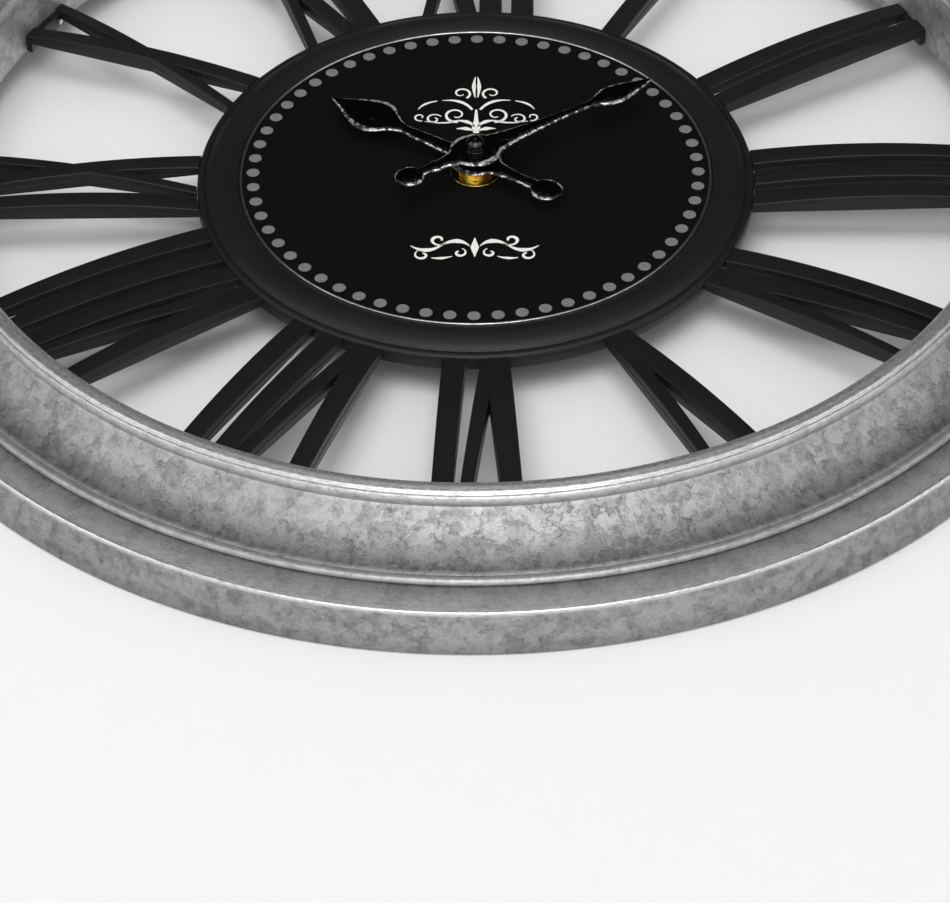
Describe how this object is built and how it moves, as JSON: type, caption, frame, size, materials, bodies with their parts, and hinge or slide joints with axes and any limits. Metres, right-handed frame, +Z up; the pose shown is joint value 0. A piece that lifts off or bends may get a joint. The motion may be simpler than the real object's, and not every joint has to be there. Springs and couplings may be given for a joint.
{
  "type": "wall clock",
  "caption": "Round skeleton wall clock: galvanised flared drum frame, raised black roman numerals, small black centre dial and a quartz movement behind it.",
  "frame": {"origin": "centre of the overall box: on the hands' axis, half way between the wall and the rolled front edge", "axes": "+X to the right as the clock is read, +Y into the wall, +Z up towards twelve o'clock"},
  "size_m": [0.5079, 0.0462, 0.508],
  "materials": {
    "galvanised": "galvanised sheet, dull mottled spangle, burnished on the rolled edge",
    "numeral_black": "matte black moulding with a satin bevelled edge",
    "dial_black": "flat black print on a thin plate",
    "dot_grey": "grey printed dots",
    "trim_bright": "thin bright line around the dial",
    "brass_fixing": "bright turned brass",
    "rubber_black": "soft black rubber",
    "hand_black": "glossy black lacquer",
    "zinc_steel": "zinc plated",
    "case_black": "fine textured black moulding",
    "wheel_white": "natural acetal",
    "wheel_yellow": "yellow acetal",
    "arbor_steel": "turned steel",
    "magnet_grey": "sintered magnet",
    "core_steel": "stamped silicon steel",
    "bobbin_white": "plain moulding",
    "coil_copper": "enamelled copper wire",
    "board_green": "green solder mask",
    "can_steel": "bright nickel plate",
    "battery_sleeve": "plain dark printed sleeve"
  },
  "bodies": {
    "frame": {"drum_ring": "galvanised", "base_ring": "galvanised", "dial_ring": "numeral_black", "dial_plate": "dial_black", "minute_dots": "dot_grey", "dial_trim_ring": "trim_bright", "numeral_1": "numeral_black", "numeral_2": "numeral_black", "numeral_3": "numeral_black", "numeral_4": "numeral_black", "numeral_5": "numeral_black", "numeral_6": "numeral_black", "numeral_7": "numeral_black", "numeral_8": "numeral_black", "numeral_9": "numeral_black", "numeral_10": "numeral_black", "numeral_11": "numeral_black", "numeral_12": "numeral_black", "numeral_screws": "zinc_steel", "hanger_plate": "zinc_steel", "hanger_rivets": "zinc_steel", "movement_case": "case_black", "movement_cover": "case_black", "cover_screws": "zinc_steel", "gear_plate": "case_black", "threaded_bush": "brass_fixing", "cushion_washer": "rubber_black", "flat_washer": "brass_fixing", "hex_nut": "brass_fixing", "stator": "core_steel", "coil_bobbin": "bobbin_white", "coil_winding": "coil_copper", "circuit_board": "board_green", "quartz_can": "can_steel", "contact_plate": "can_steel", "contact_spring": "can_steel"},
    "minute": {"minute_hand": "hand_black", "minute_arbor": "arbor_steel", "hand_cap_nut": "hand_black"},
    "hour": {"hour_hand": "hand_black", "hour_wheel": "wheel_white"},
    "motion": {"motion_wheel": "wheel_white"},
    "centre": {"centre_wheel": "wheel_white"},
    "third": {"third_wheel": "wheel_yellow"},
    "second": {"second_wheel": "wheel_white"},
    "idler": {"idler_wheel": "wheel_white"},
    "rotor": {"rotor": "magnet_grey"},
    "knob": {"set_knob": "wheel_white"},
    "battery": {"battery": "battery_sleeve"}
  },
  "joints": [
    {"name": "minute_turn", "type": "hinge", "parent": "frame", "child": "minute", "pos_m": [0, 0, 0], "axis": [0, 1, 0], "continuous": true},
    {"name": "hour_turn", "type": "hinge", "parent": "frame", "child": "hour", "pos_m": [0, 0, 0], "axis": [0, 1, 0], "continuous": true},
    {"name": "motion_turn", "type": "hinge", "parent": "frame", "child": "motion", "pos_m": [0.0096, 0, 0], "axis": [0, 1, 0], "continuous": true},
    {"name": "centre_turn", "type": "hinge", "parent": "frame", "child": "centre", "pos_m": [0, 0, 0], "axis": [0, 1, 0], "continuous": true},
    {"name": "third_turn", "type": "hinge", "parent": "frame", "child": "third", "pos_m": [0.00576, 0, 0.00998], "axis": [0, 1, 0], "continuous": true},
    {"name": "second_turn", "type": "hinge", "parent": "frame", "child": "second", "pos_m": [-0.0044, 0, 0.01087], "axis": [0, 1, 0], "continuous": true},
    {"name": "idler_turn", "type": "hinge", "parent": "frame", "child": "idler", "pos_m": [-0.0098, 0, 0.01087], "axis": [0, 1, 0], "continuous": true},
    {"name": "rotor_turn", "type": "hinge", "parent": "frame", "child": "rotor", "pos_m": [-0.01351, 0, 0.01458], "axis": [0, 1, 0], "continuous": true},
    {"name": "knob_turn", "type": "hinge", "parent": "frame", "child": "knob", "pos_m": [0.01862, 0, -0.00328], "axis": [0, 1, 0], "continuous": true},
    {"name": "battery_slide", "type": "slide", "parent": "frame", "child": "battery", "axis": [0, 1, 0], "range_m": [0, 0.03]}
  ],
  "couplings": [
    {"joint": "hour_turn", "follows": "minute_turn", "ratio": 0.083333},
    {"joint": "motion_turn", "follows": "minute_turn", "ratio": -0.33333},
    {"joint": "knob_turn", "follows": "minute_turn", "ratio": 1},
    {"joint": "idler_turn", "follows": "rotor_turn", "ratio": -0.16667},
    {"joint": "second_turn", "follows": "rotor_turn", "ratio": 0.033333},
    {"joint": "third_turn", "follows": "rotor_turn", "ratio": -0.0044444},
    {"joint": "centre_turn", "follows": "rotor_turn", "ratio": 0.00055556}
  ]
}
